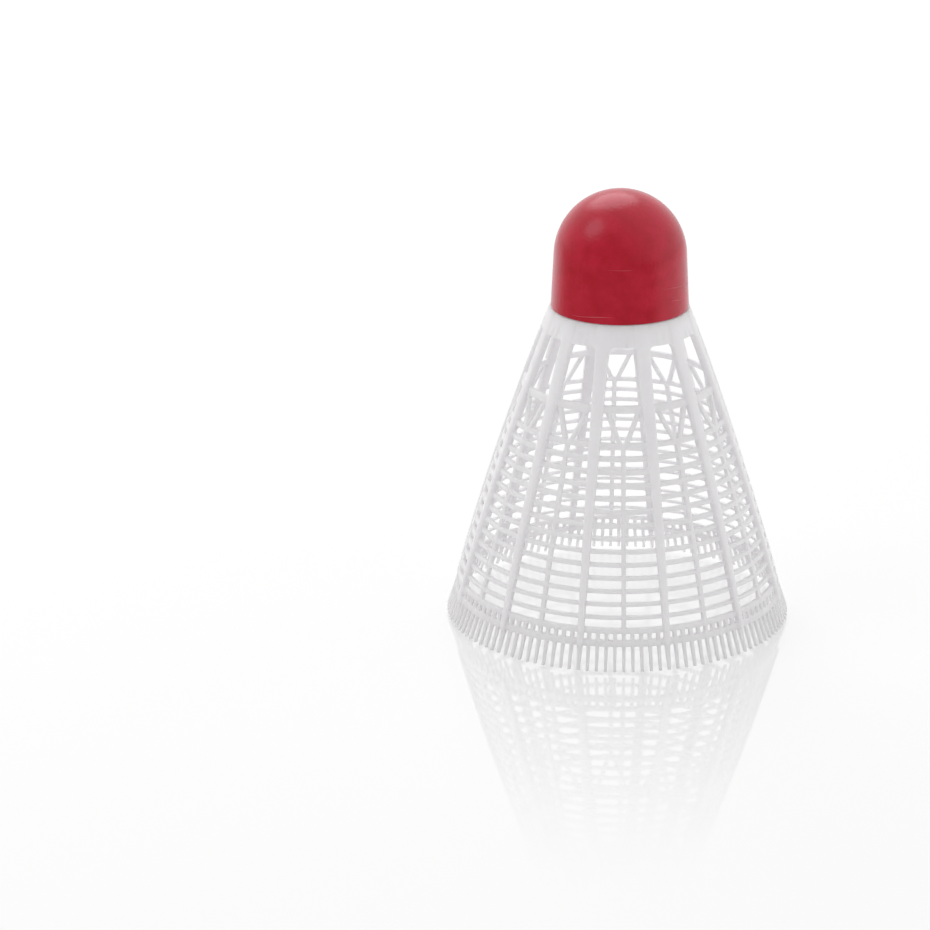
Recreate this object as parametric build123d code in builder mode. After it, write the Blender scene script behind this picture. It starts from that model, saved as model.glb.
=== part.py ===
"""Plastic badminton shuttlecock, standing on its fringe with the nose up.

A hollow domed cap is pressed over the crown of one moulded skirt. The skirt is written as its
members: the crown, twelve tapered main ribs and, between each pair of ribs, a net panel and a
segment of the rim with its fringe of teeth.

Frame: millimetres, +Z along the axis towards the nose, origin on the axis in the plane of the
fringe tips. A "drop" is a distance measured downwards from the open edge of the cap.
"""

from build123d import *
import os
from math import acos, atan2, cos, degrees, hypot, radians, sin, tan

# Cap: a tapered wall that runs tangent into a spherical dome
CAP_EDGE_RADIUS = 13.0
DOME_RADIUS = 12.5
DOME_CENTRE_HEIGHT = 9.85  # above the open edge
CAP_WALL = 1.6
CAP_EDGE_ROUND = 0.3

# Crown: the collar below the cap, a web across it and a plug that carries the cap
COLLAR_HEIGHT = 3.95
COLLAR_PROUD = 0.375  # beyond the outside of the net
COLLAR_WALL = 1.2
WEB_THICKNESS = 0.9
PLUG_HEIGHT = 7.0
PLUG_WALL = 0.9
PLUG_LEAD_IN = 0.4
CAP_FIT = 0.05  # clearance between the plug and the inside of the cap
BEAD_HEIGHT = 4.0  # snap bead, above the open edge of the cap
BEAD_RADIUS = 0.4

# Skirt: a slightly bellied cone, given by the middle of its net
NET_TOP_RADIUS = 12.35
NET_RIM_RADIUS = 31.0
NET_THICKNESS = 0.75  # radial
BELLY = 0.85  # how far the middle bulges beyond a straight cone
RIB_COUNT = 12

# Main ribs
RIB_PROUD = 0.55  # beyond the outside of the net
RIB_TOP_WIDTH = 2.65  # at the open edge of the cap
RIB_RIM_WIDTH = 1.0  # at the lower rim band
RIB_EDGE_CHAMFER = 0.2

# Hoops of the net
BELT_DROP = 14.7  # the one thick hoop
BELT_WIDTH = 1.3
FIRST_HOOP_DROP = 21.0
HOOP_PITCH = 2.33
HOOP_COUNT = 14
FIRST_HOOP_WIDTH = 0.92
LAST_HOOP_WIDTH = 0.65
MINOR_RIB_WIDTH = 0.85

# Braces, two in each bay from the belt down to the head of the minor rib
BRACE_WIDTH = 0.9
BRACE_FOOT_OFFSET = 0.45  # from the middle of the bay
BRACE_HEAD_GAP = 0.12  # between the brace and the main rib, along the belt

# Rim: two bands joined by rungs, and a tooth below each rung
UPPER_BAND_WIDTH = 0.95
LOWER_BAND_WIDTH = 1.1
LADDER_PITCH = 2.25  # from band to band
RUNGS_PER_BAY = 10  # the main rib is one of them
RUNG_WIDTH = 0.72
TOOTH_DROP = 4.4
TOOTH_FLARE = 0.4  # beyond the line of the cone
TOOTH_ROOT_WIDTH = 0.65
TOOTH_TIP_WIDTH = 0.55
TOOTH_TIP_THICKNESS = 0.5

# Places worked out from the sizes above
BAY_ANGLE = 360 / RIB_COUNT
UPPER_BAND_DROP = FIRST_HOOP_DROP + HOOP_COUNT * HOOP_PITCH
LOWER_BAND_DROP = UPPER_BAND_DROP + LADDER_PITCH
RIM_DROP = LOWER_BAND_DROP + LOWER_BAND_WIDTH / 2
CAP_EDGE_Z = RIM_DROP + TOOTH_DROP
DOME_CENTRE_Z = CAP_EDGE_Z + DOME_CENTRE_HEIGHT
COLLAR_FOOT_Z = CAP_EDGE_Z - COLLAR_HEIGHT
RIM_Z = TOOTH_DROP
DOME_START = degrees(
    acos(DOME_RADIUS / hypot(CAP_EDGE_RADIUS, DOME_CENTRE_HEIGHT))
    - atan2(DOME_CENTRE_HEIGHT, CAP_EDGE_RADIUS)
)
BORE_EDGE_RADIUS = CAP_EDGE_RADIUS - CAP_WALL / cos(radians(DOME_START))


def net_radius(z):
    """Radius of the middle of the net at a height."""
    share = (CAP_EDGE_Z - z) / LOWER_BAND_DROP
    cone = NET_TOP_RADIUS + (NET_RIM_RADIUS - NET_TOP_RADIUS) * share
    return cone + 4 * BELLY * share * (1 - share)


def radial_plane(angle):
    """The plane through the axis at an angle, with x outwards and y up."""
    turn = radians(angle)
    return Plane((0, 0, 0), x_dir=(cos(turn), sin(turn), 0), z_dir=(sin(turn), -cos(turn), 0))


def rib_side(angle, side):
    """The flat side of a main rib, facing +1 or -1 around the axis."""
    turn = radians(angle)
    tangent = Vector(-sin(turn), cos(turn), 0) * side
    spread = (RIB_TOP_WIDTH - RIB_RIM_WIDTH) / 2 / (CAP_EDGE_Z - RIM_Z)
    foot = tangent * (RIB_RIM_WIDTH / 2) + Vector(0, 0, RIM_Z)
    return Plane(foot, x_dir=(cos(turn), sin(turn), 0), z_dir=tangent - Vector(0, 0, spread))


def rib_width(z):
    """Width of a main rib at a height."""
    share = (z - RIM_Z) / (CAP_EDGE_Z - RIM_Z)
    return RIB_RIM_WIDTH + (RIB_TOP_WIDTH - RIB_RIM_WIDTH) * share


def hoop_width(index):
    """Width of a thin hoop, counted from the top. They get narrower towards the rim."""
    share = index / (HOOP_COUNT - 1)
    return FIRST_HOOP_WIDTH + (LAST_HOOP_WIDTH - FIRST_HOOP_WIDTH) * share


def bore_radius(z):
    """Inside radius of the cap's tapered wall at a height."""
    return BORE_EDGE_RADIUS - (z - CAP_EDGE_Z) * tan(radians(DOME_START))


def hoop_section(drop, width):
    """Adds the section of one hoop to the sketch: flat above and below, with the cone's slope."""
    low = CAP_EDGE_Z - drop - width / 2
    high = low + width
    half = NET_THICKNESS / 2
    Polygon(
        (net_radius(low) - half, low),
        (net_radius(low) + half, low),
        (net_radius(high) + half, high),
        (net_radius(high) - half, high),
        align=None,
    )


def bar_section(z, angle, width, thickness, outward=0.0):
    """Adds a rectangle, across a bar that follows the net, to a level sketch at a height."""
    radius = net_radius(z) + outward
    turn = radians(angle)
    with Locations((radius * cos(turn), radius * sin(turn))):
        Rectangle(thickness, width, rotation=angle)


def cap_bore():
    """The hollow of the cap: a tapered bore, a domed end and a groove for the snap bead."""
    end_radius = DOME_RADIUS - CAP_WALL
    turn = radians(DOME_START)
    shoulder = (end_radius * cos(turn), DOME_CENTRE_Z + end_radius * sin(turn))
    bead_z = CAP_EDGE_Z + BEAD_HEIGHT
    with BuildPart() as bore:
        with BuildSketch(Plane.XZ):
            with BuildLine():
                Polyline((0, CAP_EDGE_Z), (BORE_EDGE_RADIUS, CAP_EDGE_Z), shoulder)
                CenterArc((0, DOME_CENTRE_Z), end_radius, DOME_START, 90 - DOME_START)
                Line((0, DOME_CENTRE_Z + end_radius), (0, CAP_EDGE_Z))
            make_face()
        revolve(axis=Axis.Z)
        with BuildSketch(Plane.XZ):
            with Locations((bore_radius(bead_z) - CAP_FIT, bead_z)):
                Circle(BEAD_RADIUS + CAP_FIT)
        revolve(axis=Axis.Z)
    return bore


def nose_cap():
    """The hollow cap: outside profile revolved, bored out, with its lower outside edge rounded."""
    turn = radians(DOME_START)
    shoulder = (DOME_RADIUS * cos(turn), DOME_CENTRE_Z + DOME_RADIUS * sin(turn))
    bore = cap_bore()
    with BuildPart() as cap:
        with BuildSketch(Plane.XZ):
            with BuildLine():
                Polyline((0, CAP_EDGE_Z), (CAP_EDGE_RADIUS, CAP_EDGE_Z), shoulder)
                CenterArc((0, DOME_CENTRE_Z), DOME_RADIUS, DOME_START, 90 - DOME_START)
                Line((0, DOME_CENTRE_Z + DOME_RADIUS), (0, CAP_EDGE_Z))
            make_face()
        revolve(axis=Axis.Z)
        lowest_face = cap.faces().sort_by(Axis.Z)[0]
        fillet(lowest_face.edges(), radius=CAP_EDGE_ROUND)
        add(bore.part, mode=Mode.SUBTRACT)
    return cap


def rib_root():
    """The stretch of a main rib that stands on the collar."""
    outer = NET_THICKNESS / 2 + RIB_PROUD
    with BuildPart() as root:
        with BuildSketch(Plane.XZ):
            with BuildLine():
                Polyline(
                    (net_radius(COLLAR_FOOT_Z), COLLAR_FOOT_Z),
                    (net_radius(COLLAR_FOOT_Z) + outer, COLLAR_FOOT_Z),
                    (net_radius(CAP_EDGE_Z) + outer, CAP_EDGE_Z),
                    (net_radius(CAP_EDGE_Z), CAP_EDGE_Z),
                    close=True,
                )
            make_face()
        extrude(amount=RIB_TOP_WIDTH, both=True)
        split(bisect_by=rib_side(0, 1), keep=Keep.BOTTOM)
        split(bisect_by=rib_side(0, -1), keep=Keep.BOTTOM)
        chamfer(long_outer_edges(root), length=RIB_EDGE_CHAMFER)
    return root


def long_outer_edges(rib):
    """The two long edges on the outside of a rib that stands at angle zero."""
    outer_face = rib.faces().sort_by(Axis.X)[-1]
    return outer_face.edges().sort_by(SortBy.LENGTH)[-2:]


def crown():
    """The collar with its rib roots, the web across it and the plug that the cap sits on."""
    outer = NET_THICKNESS / 2 + COLLAR_PROUD
    inner = outer - COLLAR_WALL
    plug_top = CAP_EDGE_Z + PLUG_HEIGHT
    web_foot = CAP_EDGE_Z - WEB_THICKNESS
    plug_radius = bore_radius(CAP_EDGE_Z) - CAP_FIT
    plug_top_radius = bore_radius(plug_top) - CAP_FIT
    bead_z = CAP_EDGE_Z + BEAD_HEIGHT
    root = rib_root()
    with BuildPart() as part:
        with BuildSketch(Plane.XZ):
            with BuildLine():
                Polyline(
                    (0, web_foot),
                    (net_radius(web_foot) + inner, web_foot),
                    (net_radius(COLLAR_FOOT_Z) + inner, COLLAR_FOOT_Z),
                    (net_radius(COLLAR_FOOT_Z) + outer, COLLAR_FOOT_Z),
                    (net_radius(CAP_EDGE_Z) + outer, CAP_EDGE_Z),
                    (plug_radius, CAP_EDGE_Z),
                    (plug_top_radius, plug_top - PLUG_LEAD_IN),
                    (plug_top_radius - PLUG_LEAD_IN, plug_top),
                    (plug_top_radius - PLUG_WALL, plug_top),
                    (plug_radius - PLUG_WALL, CAP_EDGE_Z),
                    (0, CAP_EDGE_Z),
                    close=True,
                )
            make_face()
        revolve(axis=Axis.Z)
        with BuildSketch(Plane.XZ):
            with Locations((bore_radius(bead_z) - CAP_FIT, bead_z)):
                Circle(BEAD_RADIUS)
        revolve(axis=Axis.Z)
        with PolarLocations(0, RIB_COUNT):
            add(root.part)
    return part


def tooth(angle, root_width):
    """One tooth of the fringe, from the lower edge of the rim to its flat tip on the ground."""
    with BuildPart() as part:
        with BuildSketch(Plane.XY.offset(RIM_Z)):
            bar_section(RIM_Z, angle, root_width, NET_THICKNESS)
        with BuildSketch(Plane.XY):
            bar_section(0, angle, TOOTH_TIP_WIDTH, TOOTH_TIP_THICKNESS, TOOTH_FLARE)
        loft()
    return part


def main_rib():
    """A tapered rib from the foot of the collar to the rim, ending in a tooth."""
    middle_z = (COLLAR_FOOT_Z + RIM_Z) / 2
    inner = -NET_THICKNESS / 2
    outer = NET_THICKNESS / 2 + RIB_PROUD
    end_tooth = tooth(0, RIB_RIM_WIDTH)
    with BuildPart() as rib:
        with BuildSketch(Plane.XZ):
            with BuildLine():
                ThreePointArc(*((net_radius(z) + outer, z) for z in (RIM_Z, middle_z, COLLAR_FOOT_Z)))
                ThreePointArc(*((net_radius(z) + inner, z) for z in (RIM_Z, middle_z, COLLAR_FOOT_Z)))
                Line((net_radius(RIM_Z) + inner, RIM_Z), (net_radius(RIM_Z) + outer, RIM_Z))
                Line(
                    (net_radius(COLLAR_FOOT_Z) + inner, COLLAR_FOOT_Z),
                    (net_radius(COLLAR_FOOT_Z) + outer, COLLAR_FOOT_Z),
                )
            make_face()
        extrude(amount=RIB_TOP_WIDTH, both=True)
        split(bisect_by=rib_side(0, 1), keep=Keep.BOTTOM)
        split(bisect_by=rib_side(0, -1), keep=Keep.BOTTOM)
        chamfer(long_outer_edges(rib), length=RIB_EDGE_CHAMFER)
        add(end_tooth.part)
    return rib


def minor_rib():
    """The thin rib down the middle of a bay, from the first hoop to the upper rim band."""
    head_z = CAP_EDGE_Z - FIRST_HOOP_DROP
    foot_z = CAP_EDGE_Z - UPPER_BAND_DROP + UPPER_BAND_WIDTH / 2
    half = NET_THICKNESS / 2
    levels = (foot_z, (head_z + foot_z) / 2, head_z)
    with BuildPart() as rib:
        with BuildSketch(radial_plane(BAY_ANGLE / 2)):
            with BuildLine():
                ThreePointArc(*((net_radius(z) + half, z) for z in levels))
                ThreePointArc(*((net_radius(z) - half, z) for z in levels))
                Line((net_radius(foot_z) - half, foot_z), (net_radius(foot_z) + half, foot_z))
                Line((net_radius(head_z) - half, head_z), (net_radius(head_z) + half, head_z))
            make_face()
        extrude(amount=MINOR_RIB_WIDTH / 2, both=True)
    return rib


def brace(side):
    """A slanted bar from the belt to the head of the minor rib, on the -1 or +1 side of it."""
    head_z = CAP_EDGE_Z - BELT_DROP
    foot_z = CAP_EDGE_Z - FIRST_HOOP_DROP
    head_reach = (rib_width(head_z) + BRACE_WIDTH) / 2 + BRACE_HEAD_GAP
    head_angle = BAY_ANGLE / 2 - degrees(head_reach / net_radius(head_z))
    foot_angle = degrees(BRACE_FOOT_OFFSET / net_radius(foot_z))
    with BuildPart() as part:
        with BuildSketch(Plane.XY.offset(head_z)):
            bar_section(head_z, BAY_ANGLE / 2 + side * head_angle, BRACE_WIDTH, NET_THICKNESS)
        with BuildSketch(Plane.XY.offset(foot_z)):
            bar_section(foot_z, BAY_ANGLE / 2 + side * foot_angle, BRACE_WIDTH, NET_THICKNESS)
        loft()
    return part


def net_panel():
    """The net between two main ribs: the belt, the braces, the minor rib and the thin hoops."""
    pieces = [minor_rib(), brace(-1), brace(1)]
    with BuildPart() as panel:
        with BuildSketch(radial_plane(0)):
            hoop_section(BELT_DROP, BELT_WIDTH)
            for index in range(HOOP_COUNT):
                hoop_section(FIRST_HOOP_DROP + index * HOOP_PITCH, hoop_width(index))
        revolve(axis=Axis.Z, revolution_arc=BAY_ANGLE)
        split(bisect_by=rib_side(0, 1), keep=Keep.TOP)
        split(bisect_by=rib_side(BAY_ANGLE, -1), keep=Keep.TOP)
        add([piece.part for piece in pieces])
    return panel


def rung(angle):
    """A short bar that joins the two rim bands."""
    low = CAP_EDGE_Z - LOWER_BAND_DROP
    high = CAP_EDGE_Z - UPPER_BAND_DROP
    with BuildPart() as part:
        for z in (low, high):
            with BuildSketch(Plane.XY.offset(z)):
                bar_section(z, angle, RUNG_WIDTH, NET_THICKNESS)
        loft()
    return part


def rim_segment():
    """The rim between two main ribs: two bands, the rungs between them and the teeth below."""
    step = BAY_ANGLE / RUNGS_PER_BAY
    angles = [step * index for index in range(1, RUNGS_PER_BAY)]
    pieces = [rung(angle) for angle in angles] + [tooth(angle, TOOTH_ROOT_WIDTH) for angle in angles]
    with BuildPart() as segment:
        with BuildSketch(radial_plane(0)):
            hoop_section(UPPER_BAND_DROP, UPPER_BAND_WIDTH)
            hoop_section(LOWER_BAND_DROP, LOWER_BAND_WIDTH)
        revolve(axis=Axis.Z, revolution_arc=BAY_ANGLE)
        split(bisect_by=rib_side(0, 1), keep=Keep.TOP)
        split(bisect_by=rib_side(BAY_ANGLE, -1), keep=Keep.TOP)
        add([piece.part for piece in pieces])
    return segment


def write(part, name):
    """Labels one piece and writes it to its own file."""
    part.label = name
    export_step(part, f"parts/{name}.step")


def write_around(form, name):
    """Writes one copy of a form for each bay around the axis."""
    for index in range(RIB_COUNT):
        write(form.part.rotate(Axis.Z, index * BAY_ANGLE), f"{name}_{index + 1:02d}")


os.makedirs("parts", exist_ok=True)
write(nose_cap().part, "nose_cap")
write(crown().part, "crown")
write_around(main_rib(), "main_rib")
write_around(net_panel(), "net_panel")
write_around(rim_segment(), "rim_segment")
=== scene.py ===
"""Looks of the plastic badminton shuttlecock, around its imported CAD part.

The red cap is a turned shell. The white skirt is one moulding: its ribs, hoops and teeth are laid
out as plain bars in half a cell, fused by a voxel remesh and softened, which gives the small
moulded fillets where bars meet. The half cell is mirrored about its main rib and repeated round
the axis.
"""

from math import acos, atan2, cos, hypot, pi, radians, sin, sqrt, tan

import bmesh
import bpy
import numpy as np
from mathutils import Matrix, Vector

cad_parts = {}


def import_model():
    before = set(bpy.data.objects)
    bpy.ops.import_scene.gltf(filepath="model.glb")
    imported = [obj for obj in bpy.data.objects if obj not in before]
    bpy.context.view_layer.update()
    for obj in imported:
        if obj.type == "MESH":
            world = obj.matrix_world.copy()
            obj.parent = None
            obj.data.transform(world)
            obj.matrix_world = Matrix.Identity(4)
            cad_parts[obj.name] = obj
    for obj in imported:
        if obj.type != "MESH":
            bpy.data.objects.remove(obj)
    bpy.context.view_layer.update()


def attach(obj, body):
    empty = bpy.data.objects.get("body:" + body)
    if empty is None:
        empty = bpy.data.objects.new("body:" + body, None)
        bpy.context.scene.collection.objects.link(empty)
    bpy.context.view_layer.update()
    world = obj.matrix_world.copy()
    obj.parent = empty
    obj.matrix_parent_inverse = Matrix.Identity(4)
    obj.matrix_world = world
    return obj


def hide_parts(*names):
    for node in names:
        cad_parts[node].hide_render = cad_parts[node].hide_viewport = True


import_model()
MM = 0.001

# ---------------------------------------------------------------- sizes in millimetres and degrees
CAP_EDGE_RADIUS = 13.0
DOME_RADIUS = 12.5
DOME_CENTRE_HEIGHT = 9.85
CAP_WALL = 1.6
CAP_EDGE_ROUND = 0.3
COLLAR_HEIGHT = 3.95
COLLAR_PROUD = 0.375
COLLAR_EDGE_ROUND = 0.18
COLLAR_WALL = 1.2
WINDOW_ARCH = 0.8
WEB_THICKNESS = 0.9
WEB_SEAT = 0.3
PLUG_HEIGHT = 7.0
PLUG_WALL = 0.9
PLUG_LEAD_IN = 0.4
CAP_FIT = 0.05
CAP_SEAT_GAP = 0.02
NET_TOP_RADIUS = 12.35
NET_RIM_RADIUS = 31.0
NET_THICKNESS = 0.75
BELLY = 0.85
RIB_COUNT = 12
BAY_ANGLE = 360 / RIB_COUNT
RIB_PROUD = 0.55
RIB_TOP_WIDTH = 2.65
RIB_RIM_WIDTH = 1.0
RIB_RIM_EASE = 0.12
RIB_EASE_GROWTH = 0.08
BELT_DROP = 14.7
BELT_WIDTH = 1.3
FIRST_HOOP_DROP = 21.0
HOOP_PITCH = 2.33
HOOP_COUNT = 14
FIRST_HOOP_WIDTH = 0.92
LAST_HOOP_WIDTH = 0.65
MINOR_RIB_WIDTH = 0.85
BRACE_WIDTH = 0.9
BRACE_FOOT_OFFSET = 0.45
BRACE_HEAD_GAP = 0.12
UPPER_BAND_WIDTH = 0.95
LOWER_BAND_WIDTH = 1.1
LADDER_PITCH = 2.25
RUNGS_PER_BAY = 10
RUNG_ANGLE = BAY_ANGLE / RUNGS_PER_BAY
RUNG_WIDTH = 0.72
TOOTH_DROP = 4.4
TOOTH_FLARE = 0.4
TOOTH_ROOT_WIDTH = 0.65
TOOTH_ROOT_RISE = 0.4
TOOTH_TIP_WIDTH = 0.55
TOOTH_TIP_THICKNESS = 0.5
TOOTH_SPARE = 0.1

UPPER_BAND_DROP = FIRST_HOOP_DROP + HOOP_COUNT * HOOP_PITCH
LOWER_BAND_DROP = UPPER_BAND_DROP + LADDER_PITCH
CAP_EDGE_Z = LOWER_BAND_DROP + LOWER_BAND_WIDTH / 2 + TOOTH_DROP
DOME_CENTRE_Z = CAP_EDGE_Z + DOME_CENTRE_HEIGHT
# Where the tapered wall runs into the dome: an angle above the dome's centre, in radians.
DOME_START = acos(DOME_RADIUS / hypot(CAP_EDGE_RADIUS, DOME_CENTRE_HEIGHT)) - atan2(
    DOME_CENTRE_HEIGHT, CAP_EDGE_RADIUS)
BORE_EDGE_RADIUS = CAP_EDGE_RADIUS - CAP_WALL / cos(DOME_START)
RIM_Z = TOOTH_DROP
HALF = NET_THICKNESS / 2

# ---------------------------------------------------------------- mesh steps, also in millimetres
CELL_START, CELL_STOP = -7.0, 22.0
COLLAR_RINGS_PER_DEGREE = 4
UPRIGHT_STEP = 1.5
RIB_STEPS = 40
BRACE_STEPS = 8
VOXEL = 0.09
HALF_CELL_TRIANGLES = 14000
CUT_DISTANCE = 1e-4
WELD_DISTANCE = 0.001


def net_radius(z):
    """Radius of the middle of the net at a height."""
    share = (CAP_EDGE_Z - z) / LOWER_BAND_DROP
    cone = NET_TOP_RADIUS + (NET_RIM_RADIUS - NET_TOP_RADIUS) * share
    return cone + 4 * BELLY * share * (1 - share)


def rib_width(z):
    """Width of a main rib at a height."""
    share = (z - RIM_Z) / (CAP_EDGE_Z - RIM_Z)
    return RIB_RIM_WIDTH + (RIB_TOP_WIDTH - RIB_RIM_WIDTH) * share


def hoop_width(index):
    """Width of a thin hoop, counted from the top. They get narrower towards the rim."""
    return FIRST_HOOP_WIDTH + (LAST_HOOP_WIDTH - FIRST_HOOP_WIDTH) * index / (HOOP_COUNT - 1)


# ---------------------------------------------------------------- mesh code
class Bars:
    """Collects closed bars, each a row of rings with the same number of corners."""

    def __init__(self):
        self.points = []
        self.faces = []

    def add(self, rings):
        start = len(self.points)
        count = len(rings[0])
        for ring in rings:
            self.points.extend(ring)
        for row in range(len(rings) - 1):
            a = start + row * count
            b = a + count
            for i in range(count):
                j = (i + 1) % count
                self.faces.append((a + i, a + j, b + j, b + i))
        last = start + (len(rings) - 1) * count
        self.faces.append(tuple(start + i for i in reversed(range(count))))
        self.faces.append(tuple(last + i for i in range(count)))


def polar(radius, angle, z, aside=0.0):
    """A point at a radius and an angle in degrees, moved sideways along the tangent."""
    turn = radians(angle)
    return (radius * cos(turn) - aside * sin(turn), radius * sin(turn) + aside * cos(turn), z)


def hoop(bars, drop, width):
    """A hoop of the net across the half cell, with a ring at each degree."""
    low = CAP_EDGE_Z - drop - width / 2
    high = low + width
    steps = round(CELL_STOP - CELL_START)
    rings = []
    for k in range(steps + 1):
        angle = CELL_START + (CELL_STOP - CELL_START) * k / steps
        rings.append([
            polar(net_radius(low) - HALF, angle, low),
            polar(net_radius(low) + HALF, angle, low),
            polar(net_radius(high) + HALF, angle, high),
            polar(net_radius(high) - HALF, angle, high),
        ])
    bars.add(rings)


def rect(radius, angle, z, width, thickness):
    """A level rectangle across a bar that follows the net."""
    inner, outer, side = radius - thickness / 2, radius + thickness / 2, width / 2
    return [
        polar(inner, angle, z, -side),
        polar(outer, angle, z, -side),
        polar(outer, angle, z, side),
        polar(inner, angle, z, side),
    ]


def upright(bars, angle, low, high, width):
    """A bar that follows the net's curve up one angle."""
    steps = max(1, round((high - low) / UPRIGHT_STEP))
    heights = [low + (high - low) * k / steps for k in range(steps + 1)]
    bars.add([rect(net_radius(z), angle, z, width, NET_THICKNESS) for z in heights])


def tooth(bars, angle, root_width):
    """A tooth of the fringe, drawn to just below the ground and cut level there later."""
    step = (TOOTH_DROP + TOOTH_SPARE) / TOOTH_DROP
    top, tip = net_radius(RIM_Z), net_radius(0) + TOOTH_FLARE
    end_radius = top + (tip - top) * step
    end_width = root_width + (TOOTH_TIP_WIDTH - root_width) * step
    end_thickness = NET_THICKNESS + (TOOTH_TIP_THICKNESS - NET_THICKNESS) * step
    root_z = RIM_Z + TOOTH_ROOT_RISE
    bars.add([
        rect(end_radius, angle, -TOOTH_SPARE, end_width, end_thickness),
        rect(top, angle, RIM_Z, root_width, NET_THICKNESS),
        rect(net_radius(root_z), angle, root_z, root_width, NET_THICKNESS),
    ])


def main_rib(bars):
    """The rib at angle zero, from the rim to the cap, with its outer edges and its top eased."""
    rings = []
    for k in range(RIB_STEPS + 1):
        z = RIM_Z + (CAP_EDGE_Z - RIM_Z) * k / RIB_STEPS
        side = rib_width(z) / 2
        ease = RIB_RIM_EASE + RIB_EASE_GROWTH * k / RIB_STEPS
        inner = net_radius(z) - HALF
        outer = net_radius(z) + HALF + RIB_PROUD
        rings.append([
            (inner, -side, z),
            (outer - ease, -side, z),
            (outer, -side + ease, z),
            (outer, side - ease, z),
            (outer - ease, side, z),
            (inner, side, z),
        ])
    rings[-2] = [(x, y, CAP_EDGE_Z - COLLAR_EDGE_ROUND) for x, y, z in rings[-1]]
    rings[-1] = [(min(x, outer - COLLAR_EDGE_ROUND), y, z) for x, y, z in rings[-1]]
    bars.add(rings)


def collar(bars):
    """The collar below the cap. Its lower edge is arched, which rounds the windows' corners."""
    outer = HALF + COLLAR_PROUD
    shoulder = CAP_EDGE_Z - COLLAR_EDGE_ROUND
    steps = round((CELL_STOP - CELL_START) * COLLAR_RINGS_PER_DEGREE)
    rings = []
    for k in range(steps + 1):
        angle = CELL_START + (CELL_STOP - CELL_START) * k / steps
        foot = CAP_EDGE_Z - COLLAR_HEIGHT
        from_rib = abs((angle + BAY_ANGLE / 2) % BAY_ANGLE - BAY_ANGLE / 2)
        gap = radians(from_rib) * net_radius(foot) - rib_width(foot) / 2
        if gap < WINDOW_ARCH:
            within = min(WINDOW_ARCH, WINDOW_ARCH - gap)
            foot -= WINDOW_ARCH - sqrt(WINDOW_ARCH * WINDOW_ARCH - within * within)
        rings.append([
            polar(net_radius(foot) + outer - COLLAR_WALL, angle, foot),
            polar(net_radius(foot) + outer, angle, foot),
            polar(net_radius(shoulder) + outer, angle, shoulder),
            polar(net_radius(CAP_EDGE_Z) + outer - COLLAR_EDGE_ROUND, angle, CAP_EDGE_Z),
            polar(net_radius(CAP_EDGE_Z) + outer - COLLAR_WALL, angle, CAP_EDGE_Z),
        ])
    bars.add(rings)


def brace(bars, side):
    """A slanted bar from the belt to the head of the minor rib in the middle of the bay."""
    head_z = CAP_EDGE_Z - BELT_DROP
    foot_z = CAP_EDGE_Z - FIRST_HOOP_DROP
    reach = (rib_width(head_z) + BRACE_WIDTH) / 2 + BRACE_HEAD_GAP
    head = BAY_ANGLE / 2 - reach / net_radius(head_z) * 180 / pi
    foot = BRACE_FOOT_OFFSET / net_radius(foot_z) * 180 / pi
    rings = []
    for k in range(BRACE_STEPS + 1):
        share = k / BRACE_STEPS
        z = head_z + (foot_z - head_z) * share
        angle = BAY_ANGLE / 2 + side * (head + (foot - head) * share)
        rings.append(rect(net_radius(z), angle, z, BRACE_WIDTH, NET_THICKNESS))
    bars.add(rings[::-1])


def half_cell_bars():
    """Everything between a main rib at 0 degrees and the minor rib at 15, with some to spare."""
    upper_band_z, lower_band_z = CAP_EDGE_Z - UPPER_BAND_DROP, CAP_EDGE_Z - LOWER_BAND_DROP
    bars = Bars()
    main_rib(bars)
    collar(bars)
    hoop(bars, BELT_DROP, BELT_WIDTH)
    for k in range(HOOP_COUNT):
        hoop(bars, FIRST_HOOP_DROP + k * HOOP_PITCH, hoop_width(k))
    hoop(bars, UPPER_BAND_DROP, UPPER_BAND_WIDTH)
    hoop(bars, LOWER_BAND_DROP, LOWER_BAND_WIDTH)
    upright(bars, BAY_ANGLE / 2, upper_band_z, CAP_EDGE_Z - FIRST_HOOP_DROP, MINOR_RIB_WIDTH)
    brace(bars, -1)
    brace(bars, 1)
    for k in (-2, -1, 1, 2, 3, 4, 5, 6, 7):
        upright(bars, k * RUNG_ANGLE, lower_band_z, upper_band_z, RUNG_WIDTH)
        tooth(bars, k * RUNG_ANGLE, TOOTH_ROOT_WIDTH)
    tooth(bars, 0, RIB_RIM_WIDTH)
    return bars


def evaluated(ob):
    """A copy of the object's mesh with its modifiers applied."""
    bpy.context.view_layer.update()
    graph = bpy.context.evaluated_depsgraph_get()
    return bpy.data.meshes.new_from_object(ob.evaluated_get(graph))


def fused(bars):
    """The bars fused into one skin, softened and thinned out. The remesh makes quads, and the
    decimation counts each of them as two triangles."""
    mesh = bpy.data.meshes.new("bars")
    mesh.from_pydata(bars.points, [], bars.faces)
    ob = bpy.data.objects.new("bars", mesh)
    bpy.context.scene.collection.objects.link(ob)
    remesh = ob.modifiers.new("remesh", "REMESH")
    remesh.mode = "VOXEL"
    remesh.voxel_size = VOXEL
    soften = ob.modifiers.new("soften", "SMOOTH")
    soften.factor = 0.5
    soften.iterations = 4
    full = evaluated(ob)
    thin = ob.modifiers.new("thin", "DECIMATE")
    thin.ratio = min(1.0, HALF_CELL_TRIANGLES / (2 * len(full.polygons)))
    thinned = evaluated(ob)
    bpy.data.objects.remove(ob)
    return thinned


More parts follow.
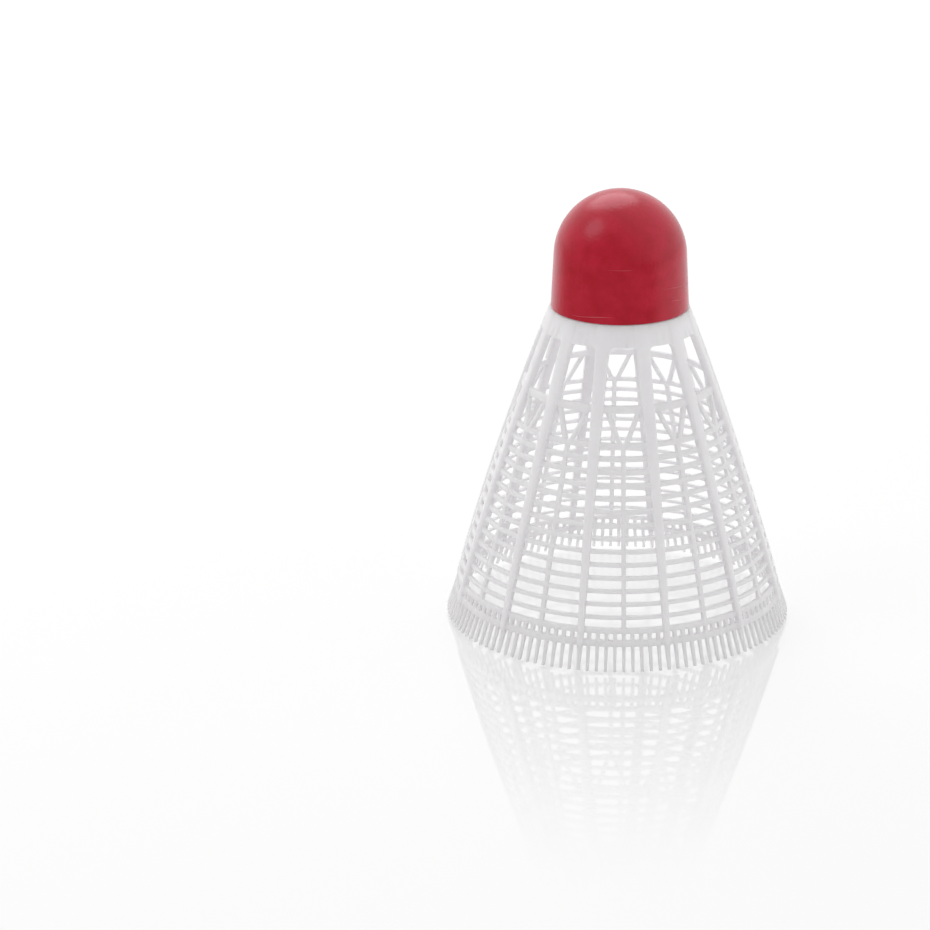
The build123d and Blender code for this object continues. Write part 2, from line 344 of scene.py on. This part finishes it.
def clipped(mesh):
    """The half cell cut level at the ground, with its tips closed, and at its mirror planes."""
    turn = radians(BAY_ANGLE / 2)
    bm = bmesh.new()
    bm.from_mesh(mesh)
    for outwards in (Vector((0, 0, -1)), Vector((0, -1, 0)), Vector((-sin(turn), cos(turn), 0))):
        cut = bmesh.ops.bisect_plane(
            bm, geom=bm.verts[:] + bm.edges[:] + bm.faces[:], dist=CUT_DISTANCE,
            plane_co=Vector((0, 0, 0)), plane_no=outwards, clear_outer=True)["geom_cut"]
        if outwards.z:
            rims = [item for item in cut if isinstance(item, bmesh.types.BMEdge)]
            bmesh.ops.holes_fill(bm, edges=rims, sides=0)
    bmesh.ops.triangulate(bm, faces=bm.faces[:])
    bm.verts.index_update()
    points = np.array([v.co[:] for v in bm.verts])
    faces = [tuple(v.index for v in f.verts) for f in bm.faces]
    bm.free()
    points[:, 2] = np.clip(points[:, 2], 0, CAP_EDGE_Z)
    return points, faces


def add_object(name, points, faces):
    """A smooth mesh object in metres from points in millimetres."""
    mesh = bpy.data.meshes.new(name)
    mesh.from_pydata((np.asarray(points) * MM).tolist(), [], faces)
    mesh.update()
    mesh.shade_smooth()
    ob = bpy.data.objects.new(name, mesh)
    bpy.context.scene.collection.objects.link(ob)
    return ob


def build_skirt():
    """The half cell mirrored and repeated round the axis, welded into one closed moulding."""
    points, faces = clipped(fused(half_cell_bars()))
    x, z = points[:, 0], points[:, 2]
    ring, ring_faces = [], []
    for k in range(RIB_COUNT):
        turn = radians(k * BAY_ANGLE)
        for side in (1, -1):
            start = len(ring) * len(points)
            y = points[:, 1] * side
            ring.append(np.column_stack((
                x * cos(turn) - y * sin(turn), x * sin(turn) + y * cos(turn), z)))
            ring_faces += [tuple(start + i for i in f[::side]) for f in faces]
    ob = add_object("skirt", np.vstack(ring), ring_faces)
    bm = bmesh.new()
    bm.from_mesh(ob.data)
    seams = [v for v in bm.verts if v.is_boundary]
    bmesh.ops.remove_doubles(bm, verts=seams, dist=WELD_DISTANCE * MM)
    bm.to_mesh(ob.data)
    bm.free()
    ob.data.shade_smooth()
    return ob


def turned(name, profile, sides):
    """A closed form from a profile of (radius, height) whose two ends lie on the axis."""
    ends, body = (profile[0], profile[-1]), profile[1:-1]
    points = [polar(radius, 360 * k / sides, z) for radius, z in body for k in range(sides)]
    faces = []
    for row in range(len(body) - 1):
        for k in range(sides):
            j = (k + 1) % sides
            a, b = row * sides, (row + 1) * sides
            faces.append((a + k, a + j, b + j, b + k))
    first, last = len(points), len(points) + 1
    top = (len(body) - 1) * sides
    points += [(0, 0, ends[0][1]), (0, 0, ends[1][1])]
    for k in range(sides):
        j = (k + 1) % sides
        faces.append((first, j, k))
        faces.append((last, top + k, top + j))
    return add_object(name, points, faces)


def arc(centre, radius, start, stop, steps):
    """Points of an arc in a profile, from one angle to another, both in radians."""
    turns = [start + (stop - start) * k / steps for k in range(steps + 1)]
    return [(centre[0] + radius * cos(t), centre[1] + radius * sin(t)) for t in turns]


def straight(start, stop, steps):
    """Points along a straight line in a profile, without its ends."""
    across, up = stop[0] - start[0], stop[1] - start[1]
    return [(start[0] + across * k / steps, start[1] + up * k / steps) for k in range(1, steps)]


def build_cap():
    """The hollow cap: down the outside from its pole, round the edge, and up the bore."""
    centre = (0, DOME_CENTRE_Z)
    edge = (CAP_EDGE_RADIUS - CAP_EDGE_ROUND, CAP_EDGE_Z + CAP_EDGE_ROUND)
    bore_edge = (BORE_EDGE_RADIUS, CAP_EDGE_Z)
    outside = arc(centre, DOME_RADIUS, pi / 2, DOME_START, 48)
    rounding = arc(edge, CAP_EDGE_ROUND, 0, -pi / 2, 8)
    inside = arc(centre, DOME_RADIUS - CAP_WALL, DOME_START, pi / 2, 16)
    outside[0], inside[-1] = (0, outside[0][1]), (0, inside[-1][1])
    wall = straight(outside[-1], rounding[0], 22)
    bore = straight(bore_edge, inside[0], 8)
    profile = outside + wall + rounding + [bore_edge] + bore + inside
    return turned("cap", profile[::-1], 128)


def build_crown():
    """The web across the collar, with the dimple of the moulding gate, and the plug in the cap."""
    foot = CAP_EDGE_Z - WEB_THICKNESS
    seat = CAP_EDGE_Z - CAP_SEAT_GAP
    outer = net_radius(foot) + HALF + COLLAR_PROUD - COLLAR_WALL + WEB_SEAT
    plug_top = CAP_EDGE_Z + PLUG_HEIGHT
    plug = BORE_EDGE_RADIUS - CAP_FIT
    plug_end = plug - PLUG_HEIGHT * tan(DOME_START)
    dimple = [(0, foot + 0.30), (0.5, foot + 0.28), (1.2, foot + 0.22), (1.9, foot + 0.20),
              (2.1, foot + 0.08), (2.3, foot)]
    underside = [(4.0, foot), (outer, foot)]
    top = [(outer, seat), (plug, seat)]
    outside = [(plug_end, plug_top - PLUG_LEAD_IN), (plug_end - PLUG_LEAD_IN, plug_top)]
    inside = [(plug_end - PLUG_WALL, plug_top), (plug - PLUG_WALL, CAP_EDGE_Z), (0, CAP_EDGE_Z)]
    return turned("crown_web", dimple + underside + top + outside + inside, 96)


# ---------------------------------------------------------------- materials
class Shader:
    """A short way to write the nodes of a material or a world."""

    def __init__(self, owner, output):
        self.owner = owner
        self.output = output
        owner.use_nodes = True
        self.tree = owner.node_tree
        self.tree.nodes.clear()

    def node(self, kind, inputs=None, **settings):
        """A node with its settings, and its inputs set to a value or linked to a socket."""
        node = self.tree.nodes.new(kind)
        for key, value in settings.items():
            setattr(node, key, value)
        for key, value in (inputs or {}).items():
            if isinstance(value, bpy.types.NodeSocket):
                self.tree.links.new(value, node.inputs[key])
            else:
                node.inputs[key].default_value = value
        return node

    def place(self, space="Object"):
        return self.node("ShaderNodeTexCoord").outputs[space]

    def ray(self, kind):
        return self.node("ShaderNodeLightPath").outputs[kind]

    def math(self, operation, a, b):
        return self.node("ShaderNodeMath", {0: a, 1: b}, operation=operation).outputs[0]

    def times(self, a, b):
        return self.math("MULTIPLY", a, b)

    def along(self, place, direction):
        """How far a place lies in a direction."""
        return self.node("ShaderNodeVectorMath", {0: place, 1: direction},
                         operation="DOT_PRODUCT").outputs["Value"]

    def spread(self, value, low, high, to_low=0.0, to_high=1.0, curve="LINEAR"):
        """A value between low and high, brought between two other values."""
        return self.node("ShaderNodeMapRange", {
            "Value": value, "From Min": low, "From Max": high, "To Min": to_low, "To Max": to_high,
        }, interpolation_type=curve).outputs[0]

    def noise(self, place, scale, detail, roughness=0.5):
        return self.node("ShaderNodeTexNoise", {
            "Vector": place, "Scale": scale, "Detail": detail, "Roughness": roughness}).outputs[0]

    def mix(self, share, a, b):
        """A colour between two others."""
        return self.node("ShaderNodeMix", {0: share, 6: a, 7: b}, data_type="RGBA").outputs[2]

    def blend(self, share, a, b):
        """A shader between two others."""
        return self.node("ShaderNodeMixShader", {0: share, 1: a, 2: b}).outputs[0]

    def bump(self, height, strength):
        return self.node("ShaderNodeBump", {
            "Strength": strength, "Distance": 0.0002, "Height": height}).outputs[0]

    def finish(self, surface):
        self.node(self.output, {"Surface": surface})
        return self.owner


def material(name):
    return Shader(bpy.data.materials.new(name), "ShaderNodeOutputMaterial")


def scuffs(s, place):
    """Fine pale scratches that run round the axis in broken lines, with a few specks."""
    line = s.node("ShaderNodeTexWave", {
        "Vector": place, "Scale": 130.0, "Distortion": 6.0, "Detail": 1.0, "Detail Scale": 0.35,
    }, bands_direction="Z").outputs["Fac"]
    drawn_out = s.node("ShaderNodeMapping", {"Vector": place, "Scale": (75, 75, 260)}).outputs[0]
    patch = s.spread(s.noise(drawn_out, 1.0, 2.0), 0.60, 0.72)
    scratch = s.times(s.spread(line, 0.988, 1.0), patch)
    cell = s.node("ShaderNodeTexVoronoi", {"Vector": place, "Scale": 420.0}).outputs
    chosen = s.spread(cell["Color"], 0.88, 0.90)
    speck = s.times(s.spread(cell["Distance"], 0.05, 0.10, 1.0, 0.0), chosen)
    return s.math("MAXIMUM", scratch, speck)


def cap_material():
    """Red rubber with a mottled tone, a fine grain and a few scratches."""
    s = material("red_rubber")
    place = s.place()
    mottle = s.noise(place, 260.0, 5.0, 0.6)
    worn = scuffs(s, place)
    red = s.mix(s.spread(mottle, 0.35, 0.65), (0.455, 0.004, 0.018, 1), (0.545, 0.008, 0.031, 1))
    surface = s.node("ShaderNodeBsdfPrincipled", {
        "Base Color": s.mix(s.times(worn, 0.24), red, (0.80, 0.42, 0.45, 1)),
        "Roughness": s.math("ADD", s.spread(mottle, 0.3, 0.7, 0.20, 0.26), s.times(worn, 0.3)),
        "Normal": s.bump(s.noise(place, 1500.0, 3.0, 0.6), 0.2),
        "IOR": 1.5,
        "Specular IOR Level": 0.5,
        "Specular Tint": (1.0, 0.82, 0.92, 1),
        "Sheen Weight": 0.12,
        "Sheen Roughness": 0.35,
        "Sheen Tint": (1.0, 0.70, 0.85, 1),
    })
    return s.finish(surface.outputs[0])


def skirt_material():
    """White plastic that lets some light through, with a cloudy tone and a fine grain."""
    s = material("white_plastic")
    place = s.place()
    cloud = s.noise(place, 120.0, 3.0)
    tone = s.spread(cloud, 0.35, 0.65)
    surface = s.node("ShaderNodeBsdfPrincipled", {
        "Base Color": s.mix(tone, (0.875, 0.852, 0.872, 1), (0.91, 0.887, 0.907, 1)),
        "Roughness": s.spread(cloud, 0.3, 0.7, 0.30, 0.40),
        "Normal": s.bump(s.noise(place, 900.0, 3.0), 0.08),
        "IOR": 1.5,
        "Subsurface Weight": 1.0,
        "Subsurface Radius": (1.0, 1.0, 1.0),
        "Subsurface Scale": 0.0022,
    })
    return s.finish(surface.outputs[0])


# ---------------------------------------------------------------- pieces
skirt_look = skirt_material()
labels = [f"{index + 1:02d}" for index in range(RIB_COUNT)]
skirt = build_skirt()
skirt.data.materials.append(skirt_look)
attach(skirt, "root")
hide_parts(*(f"{member}_{label}" for label in labels
                     for member in ("main_rib", "net_panel", "rim_segment")))

crown = build_crown()
crown.data.materials.append(skirt_look)
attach(crown, "root")
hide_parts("crown")

cap = build_cap()
cap.data.materials.append(cap_material())
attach(cap, "root")
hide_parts("nose_cap")


# ---------------------------------------------------------------- stage, light and camera
# Lamps, and distances in the materials, are in metres.
WHITE = (1.0, 1.0, 1.0, 1.0)
FLOOR_REACH = 3000.0
FLOOR_DROP = 0.7


def floor():
    """White board a little below the tips, glossy round the object. The camera sees it partly lit
    from within, so that it stays white beside a pale shadow and a reflection that fades with the
    distance. Gloss on the object sees its front dimmer, as a dim studio would leave it."""
    corners = [(x * FLOOR_REACH, y * FLOOR_REACH, -FLOOR_DROP)
               for x, y in ((-1, -1), (1, -1), (1, 1), (-1, 1))]
    ob = add_object("floor", corners, [(0, 1, 2, 3)])
    s = material("white_board")
    place, seen, mirrored = s.place(), s.ray("Is Camera Ray"), s.ray("Is Glossy Ray")
    away = s.node("ShaderNodeVectorMath", {0: place}, operation="LENGTH").outputs["Value"]
    fade = s.spread(away, 0.035, 0.125, 0.55, 0.0, "SMOOTHSTEP")
    inside = s.spread(away, 0.024, 0.036, 1.0, 0.0, "SMOOTHSTEP")
    gloss_share = s.math("SUBTRACT", fade, s.times(inside, 0.1))
    glow_share = s.math("ADD", 0.3, s.times(inside, 0.3))
    behind = s.spread(s.along(place, (0.7, 0.7, 0.0)), -0.06, 0.06)
    shade = s.mix(mirrored, WHITE, s.mix(behind, (0.25, 0.25, 0.25, 1.0), WHITE))
    diffuse = s.node("ShaderNodeBsdfDiffuse", {"Color": shade}).outputs[0]
    gloss = s.node("ShaderNodeBsdfGlossy", {"Roughness": 0.02, "Color": WHITE}).outputs[0]
    glow = s.node("ShaderNodeEmission", {"Color": WHITE, "Strength": 1.0}).outputs[0]
    board = s.blend(s.times(seen, gloss_share), diffuse, gloss)
    ob.data.materials.append(s.finish(s.blend(s.times(seen, glow_share), board, glow)))


def world():
    """Soft white light from all round, dimmer from the camera's side and white where it is seen.
    Gloss sees a dimmer front and a white background."""
    studio = bpy.data.worlds.new("studio")
    bpy.context.scene.world = studio
    s = Shader(studio, "ShaderNodeOutputWorld")
    back = s.along(s.place("Generated"), (0.70, 0.70, 0.15))
    level = s.node("ShaderNodeMix", {
        "Factor": s.ray("Is Glossy Ray"),
        "A": s.spread(back, -1.0, 0.5, 0.45, 0.82, "SMOOTHSTEP"),
        "B": s.spread(back, -1.0, 0.5, 0.25, 1.0, "SMOOTHSTEP"),
    }).outputs["Result"]
    light = s.node("ShaderNodeBackground", {"Color": WHITE, "Strength": level}).outputs[0]
    seen = s.node("ShaderNodeBackground", {"Color": WHITE, "Strength": 1.0}).outputs[0]
    s.finish(s.blend(s.ray("Is Camera Ray"), light, seen))


def softbox(name, place, target, size, power):
    """A round lamp at a place, turned towards a target, with its width and its watts."""
    data = bpy.data.lights.new(name, "AREA")
    data.shape = "DISK"
    data.size = size
    data.energy = power
    ob = bpy.data.objects.new(name, data)
    ob.location = Vector(place)
    ob.rotation_mode = "QUATERNION"
    ob.rotation_quaternion = (Vector(target) - Vector(place)).to_track_quat("-Z", "Y")
    bpy.context.scene.collection.objects.link(ob)


def camera():
    """The photograph's view: a long lens with 16 degrees of view, looking down by 19 degrees. The
    turn puts a main rib where the photograph shows one."""
    turn = Matrix.Rotation(radians(-9.53), 3, "Z")
    place = turn @ Vector((-82.67, -590.20, 239.36)) * MM
    forward = turn @ Vector((0.08472, 0.93913, -0.33295))
    right = turn @ Vector((0.99574, -0.09205, -0.00626))
    up = right.cross(forward).normalized()
    focal_pixels, frame_pixels = 3300, 930
    data = bpy.data.cameras.new("camera")
    data.sensor_width = 36.0
    data.lens = data.sensor_width * focal_pixels / frame_pixels
    data.clip_start = 0.01
    data.clip_end = 20.0
    ob = bpy.data.objects.new("camera", data)
    aim = Matrix((right, up, -forward)).transposed().to_4x4()
    ob.matrix_world = Matrix.Translation(place) @ aim
    bpy.context.scene.collection.objects.link(ob)
    bpy.context.scene.camera = ob


floor()
world()
softbox("overhead", (0.05, 0.58, 0.80), (0, 0, 0.03), 0.8, 2.8)
softbox("side", (-0.67, 0.0, 0.79), (0, 0, 0.07), 0.56, 1.08)
camera()
bpy.context.scene.view_settings.view_transform = "Standard"
